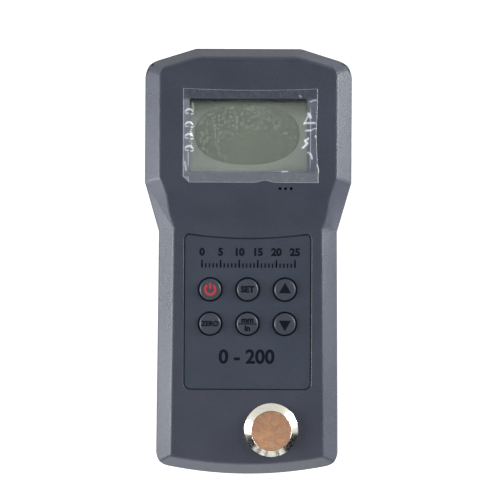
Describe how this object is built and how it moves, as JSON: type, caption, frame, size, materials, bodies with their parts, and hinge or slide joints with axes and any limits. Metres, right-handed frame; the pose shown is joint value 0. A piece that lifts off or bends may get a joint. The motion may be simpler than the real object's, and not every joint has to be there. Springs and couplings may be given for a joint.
{
  "type": "ultrasonic thickness gauge",
  "caption": "Hand-held ultrasonic thickness gauge with a waisted bevelled case, film-covered display, round press keys, copper-faced test block, end probe sockets and a sliding battery door.",
  "frame": {"origin": "middle of the back, on the surface that the gauge lies on", "axes": "+Z out of the front face, +Y towards the display head, +X to the right seen from the front"},
  "size_m": [0.0608, 0.126, 0.0271],
  "materials": {
    "case_plastic": "fine moulded texture, satin",
    "window_clear": "clear, polished",
    "film_clear": "clear thin film, creased",
    "display_glass": "grey-green display, unlit",
    "white_plastic": "moulded",
    "strip_rubber": "soft",
    "board_laminate": "solder mask",
    "keypad_plastic": "satin",
    "key_plastic": "satin",
    "dome_steel": "bright",
    "black_plastic": "moulded",
    "block_copper": "copper-coloured, lapped, lightly marked",
    "ring_steel": "turned and polished",
    "clip_steel": "plain",
    "socket_brass": "nickel plated",
    "lead_rubber": "smooth sheath",
    "cell_sleeve": "printed sleeve, plain",
    "contact_steel": "nickel plated"
  },
  "bodies": {
    "case": {"front_shell": "case_plastic", "rear_shell": "case_plastic", "display_window": "window_clear", "screen_film": "film_clear", "lcd_panel": "display_glass", "lcd_frame": "white_plastic", "backlight": "white_plastic", "socket_inserts": "white_plastic", "contact_strips": "strip_rubber", "main_board": "board_laminate", "keypad_panel": "keypad_plastic", "dome_power": "dome_steel", "dome_set": "dome_steel", "dome_up": "dome_steel", "dome_zero": "dome_steel", "dome_unit": "dome_steel", "dome_down": "dome_steel", "buzzer": "black_plastic", "end_panel": "black_plastic", "controller_chip": "black_plastic", "signal_chip": "black_plastic", "pulse_coil": "black_plastic", "test_block": "block_copper", "block_ring": "ring_steel", "block_clip": "clip_steel", "case_screws": "clip_steel", "board_screws": "clip_steel", "crystal": "clip_steel", "socket_send": "socket_brass", "socket_receive": "socket_brass", "socket_nuts": "socket_brass", "lead_send": "lead_rubber", "lead_receive": "lead_rubber", "cell_1": "cell_sleeve", "cell_2": "cell_sleeve", "cell_3": "cell_sleeve", "cell_4": "cell_sleeve", "spring_1": "contact_steel", "spring_2": "contact_steel", "spring_3": "contact_steel", "spring_4": "contact_steel", "bridge_lower_left": "contact_steel", "bridge_lower_right": "contact_steel", "bridge_upper": "contact_steel", "terminal_plus": "contact_steel", "terminal_minus": "contact_steel"},
    "door": {"battery_door": "case_plastic"},
    "power_key": {"key_power": "key_plastic"},
    "set_key": {"key_set": "key_plastic"},
    "up_key": {"key_up": "key_plastic"},
    "zero_key": {"key_zero": "key_plastic"},
    "unit_key": {"key_unit": "key_plastic"},
    "down_key": {"key_down": "key_plastic"}
  },
  "joints": [
    {"name": "door_slide", "type": "slide", "parent": "case", "child": "door", "axis": [0, -1, 0], "range_m": [0, 0.062]},
    {"name": "key_power_press", "type": "slide", "parent": "case", "child": "power_key", "axis": [0, 0, -1], "range_m": [0, 0.0005], "stiffness_N_per_m": 1200, "deforming": ["dome_power"]},
    {"name": "key_set_press", "type": "slide", "parent": "case", "child": "set_key", "axis": [0, 0, -1], "range_m": [0, 0.0005], "stiffness_N_per_m": 1200, "deforming": ["dome_set"]},
    {"name": "key_up_press", "type": "slide", "parent": "case", "child": "up_key", "axis": [0, 0, -1], "range_m": [0, 0.0005], "stiffness_N_per_m": 1200, "deforming": ["dome_up"]},
    {"name": "key_zero_press", "type": "slide", "parent": "case", "child": "zero_key", "axis": [0, 0, -1], "range_m": [0, 0.0005], "stiffness_N_per_m": 1200, "deforming": ["dome_zero"]},
    {"name": "key_unit_press", "type": "slide", "parent": "case", "child": "unit_key", "axis": [0, 0, -1], "range_m": [0, 0.0005], "stiffness_N_per_m": 1200, "deforming": ["dome_unit"]},
    {"name": "key_down_press", "type": "slide", "parent": "case", "child": "down_key", "axis": [0, 0, -1], "range_m": [0, 0.0005], "stiffness_N_per_m": 1200, "deforming": ["dome_down"]}
  ]
}
